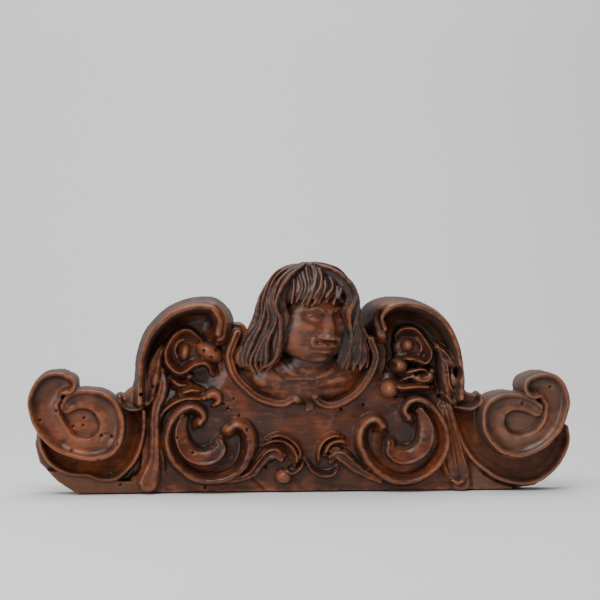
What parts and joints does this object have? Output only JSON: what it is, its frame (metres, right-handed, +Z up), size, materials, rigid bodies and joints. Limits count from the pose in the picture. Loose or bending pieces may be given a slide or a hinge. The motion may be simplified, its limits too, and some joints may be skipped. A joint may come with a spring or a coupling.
{
  "type": "carved wood overdoor",
  "caption": "Carved wood overdoor crest with scrolls, leaf scrolls and a central bust in a medallion, flat at the back to be fixed over a door or cabinet.",
  "frame": {"origin": "middle of the box round the carving, at its flat underside", "axes": "+X along the length to the viewer's right, +Y to the flat back, +Z up; the carved front faces -Y"},
  "size_m": [0.7202, 0.1087, 0.3035],
  "materials": {
    "walnut": "old waxed dark red-brown walnut, worn lighter on the edges"
  },
  "bodies": {
    "root": {"carved_overdoor": "walnut"}
  },
  "joints": []
}
